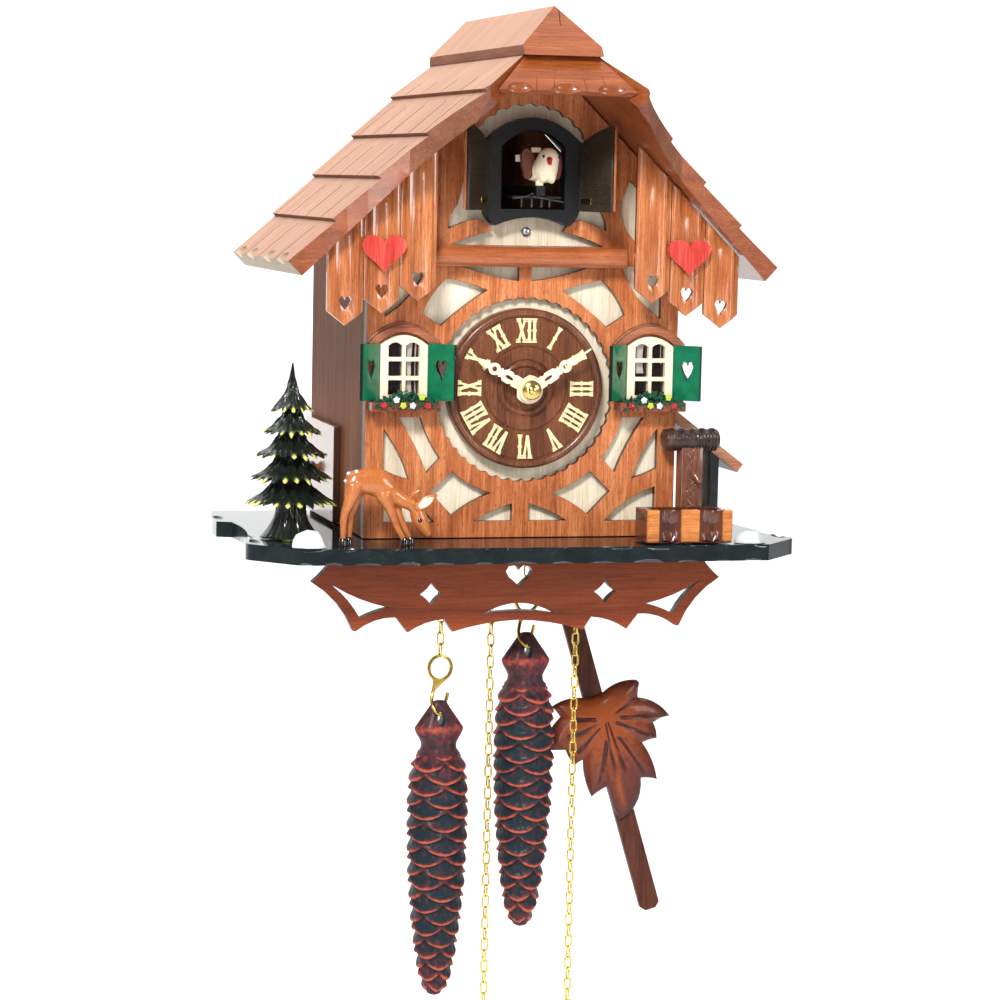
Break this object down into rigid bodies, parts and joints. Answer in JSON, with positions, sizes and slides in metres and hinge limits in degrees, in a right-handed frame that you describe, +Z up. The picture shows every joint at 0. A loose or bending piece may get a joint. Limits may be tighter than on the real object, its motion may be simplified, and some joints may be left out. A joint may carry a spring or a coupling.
{
  "type": "cuckoo clock",
  "caption": "Wooden house-shaped wall clock with dial, bird door, chain-driven movement, cone weights and leaf pendulum.",
  "frame": {"origin": "hanging point on the back face of the hanger rail, on the wall plane", "axes": "+Z up, +Y back into the wall, +X to the right seen from the front"},
  "size_m": [0.2474, 0.1819, 0.4618],
  "materials": {
    "red_wood": "satin lacquer over reddish stained veneer",
    "roof_wood": "satin lacquer, pale reddish tan",
    "light_wood": "plain pale maple",
    "dark_wood": "dark brown gloss stain",
    "dial_wood": "brown satin, turned",
    "deck_paint": "very dark green gloss paint",
    "green_paint": "green gloss paint",
    "red_paint": "red gloss paint",
    "cream_plastic": "cream moulded plastic",
    "black_plastic": "black grained plastic",
    "brass": "bright",
    "steel": "plain",
    "painted_iron": "blue-black with copper red rubbed edges",
    "fir_green": "dark green with yellow tips",
    "fawn": "orange brown gloss paint with white spots",
    "bellows_paper": "folded paper over card"
  },
  "bodies": {
    "case": {"base_board": "deck_paint", "side_wall_left": "red_wood", "side_wall_right": "red_wood", "facade_backing": "light_wood", "facade_fretwork": "red_wood", "hanger_rail": "red_wood", "roof_left": "roof_wood", "roof_right": "roof_wood", "ridge_cap": "roof_wood", "hip_panel": "roof_wood", "slats_left": "red_wood", "slats_right": "red_wood", "heart_left": "red_paint", "heart_right": "red_paint", "beam_rail": "red_wood", "apron": "red_wood", "fir_tree": "fir_green", "deer": "fawn", "trough": "dark_wood", "well_post": "dark_wood", "shed": "dark_wood", "window_left": "cream_plastic", "window_right": "cream_plastic", "shutter_left_left": "green_paint", "shutter_left_right": "green_paint", "shutter_right_left": "green_paint", "shutter_right_right": "green_paint", "flower_box_left": "red_wood", "flower_box_right": "red_wood", "dial": "dial_wood", "bird_door_frame": "black_plastic", "movement_front_plate": "brass", "movement_back_plate": "brass", "bellows_left": "bellows_paper", "bellows_right": "bellows_paper"},
    "hour_hand": {"hour_hand": "cream_plastic"},
    "minute_hand": {"minute_hand": "cream_plastic", "arbor_nut": "brass"},
    "escape_wheel": {"escape_wheel": "brass"},
    "pendulum": {"pendulum_rod": "dark_wood", "leaf_bob": "dark_wood"},
    "anchor": {"anchor": "steel"},
    "weight_left": {"cone_left": "painted_iron", "weight_chain_left": "brass"},
    "weight_right": {"cone_right": "painted_iron", "weight_chain_right": "brass"},
    "free_end_left": {"free_chain_left": "brass"},
    "free_end_right": {"free_chain_right": "brass"},
    "strike_wheel": {"great_wheel_strike": "brass"},
    "going_wheel": {"great_wheel_going": "brass"},
    "bird_carriage": {"bird": "cream_plastic", "bird_arm": "cream_plastic"},
    "bird_door_left": {"bird_door_left": "black_plastic"},
    "bird_door_right": {"bird_door_right": "black_plastic"},
    "side_door_left": {"side_door_left": "red_wood"},
    "side_door_right": {"side_door_right": "red_wood"},
    "rear_panel": {"rear_panel": "red_wood"},
    "bellows_lid_left": {"bellows_lid_left": "light_wood"},
    "bellows_lid_right": {"bellows_lid_right": "light_wood"}
  },
  "joints": [
    {"name": "minute_turn", "type": "hinge", "parent": "case", "child": "minute_hand", "pos_m": [0.0002, -0.1297, -0.11], "axis": [0, 1, 0], "continuous": true},
    {"name": "hour_turn", "type": "hinge", "parent": "case", "child": "hour_hand", "pos_m": [0.0002, -0.1267, -0.11], "axis": [0, 1, 0], "continuous": true},
    {"name": "escape_turn", "type": "hinge", "parent": "case", "child": "escape_wheel", "pos_m": [0, -0.0687, -0.106], "axis": [0, 1, 0], "continuous": true},
    {"name": "pendulum_swing", "type": "hinge", "parent": "case", "child": "pendulum", "pos_m": [0, -0.0577, -0.0824], "axis": [0, 1, 0], "range_deg": [0, 33.7]},
    {"name": "anchor_rock", "type": "hinge", "parent": "case", "child": "anchor", "pos_m": [0, -0.0677, -0.0824], "axis": [0, 1, 0], "range_deg": [0, 33.8]},
    {"name": "weight_left_drop", "type": "slide", "parent": "case", "child": "weight_left", "axis": [0, 0, -1], "range_m": [0, 0.06]},
    {"name": "free_end_left_rise", "type": "slide", "parent": "case", "child": "free_end_left", "axis": [0, 0, 1], "range_m": [0, 0.0601]},
    {"name": "strike_wheel_turn", "type": "hinge", "parent": "case", "child": "strike_wheel", "pos_m": [-0.0172, -0.0927, -0.112], "axis": [0, -1, 0], "range_deg": [0, 297]},
    {"name": "weight_right_drop", "type": "slide", "parent": "case", "child": "weight_right", "axis": [0, 0, -1], "range_m": [0, 0.06]},
    {"name": "free_end_right_rise", "type": "slide", "parent": "case", "child": "free_end_right", "axis": [0, 0, 1], "range_m": [0, 0.0601]},
    {"name": "going_wheel_turn", "type": "hinge", "parent": "case", "child": "going_wheel", "pos_m": [0.0224, -0.0927, -0.112], "axis": [0, -1, 0], "range_deg": [0, 297]},
    {"name": "bird_slide", "type": "slide", "parent": "case", "child": "bird_carriage", "axis": [0, 1, 0], "range_m": [0, 0.024]},
    {"name": "bird_door_left_turn", "type": "hinge", "parent": "case", "child": "bird_door_left", "pos_m": [-0.0196, -0.1239, -0.014], "axis": [0, 0, 1], "range_deg": [0, 128.2]},
    {"name": "bird_door_right_turn", "type": "hinge", "parent": "case", "child": "bird_door_right", "pos_m": [0.0222, -0.1239, -0.014], "axis": [0, 0, -1], "range_deg": [0, 116.2]},
    {"name": "side_door_left_turn", "type": "hinge", "parent": "case", "child": "side_door_left", "pos_m": [-0.07235, -0.0049, -0.153], "axis": [0, 0, -1], "range_deg": [0, 100]},
    {"name": "side_door_right_turn", "type": "hinge", "parent": "case", "child": "side_door_right", "pos_m": [0.07235, -0.0049, -0.153], "axis": [0, 0, 1], "range_deg": [0, 100]},
    {"name": "rear_panel_turn", "type": "hinge", "parent": "case", "child": "rear_panel", "pos_m": [-0.0649, 0, -0.106], "axis": [0, 0, 1], "range_deg": [0, 95]},
    {"name": "bellows_lid_left_lift", "type": "hinge", "parent": "case", "child": "bellows_lid_left", "pos_m": [-0.063, -0.0177, -0.0794], "axis": [-1, 0, 0], "range_deg": [0, 14]},
    {"name": "bellows_lid_right_lift", "type": "hinge", "parent": "case", "child": "bellows_lid_right", "pos_m": [0.046, -0.0177, -0.0794], "axis": [-1, 0, 0], "range_deg": [0, 14]}
  ],
  "couplings": [
    {"joint": "hour_turn", "follows": "minute_turn", "ratio": 0.083333},
    {"joint": "anchor_rock", "follows": "pendulum_swing", "ratio": 1},
    {"joint": "free_end_left_rise", "follows": "weight_left_drop", "ratio": 1},
    {"joint": "free_end_right_rise", "follows": "weight_right_drop", "ratio": 1},
    {"joint": "strike_wheel_turn", "follows": "weight_left_drop", "rad_per_m": 86.207},
    {"joint": "going_wheel_turn", "follows": "weight_right_drop", "rad_per_m": 86.207},
    {"joint": "bird_door_left_turn", "follows": "bird_slide", "rad_per_m": 93.084},
    {"joint": "bird_door_right_turn", "follows": "bird_slide", "rad_per_m": 84.358}
  ]
}
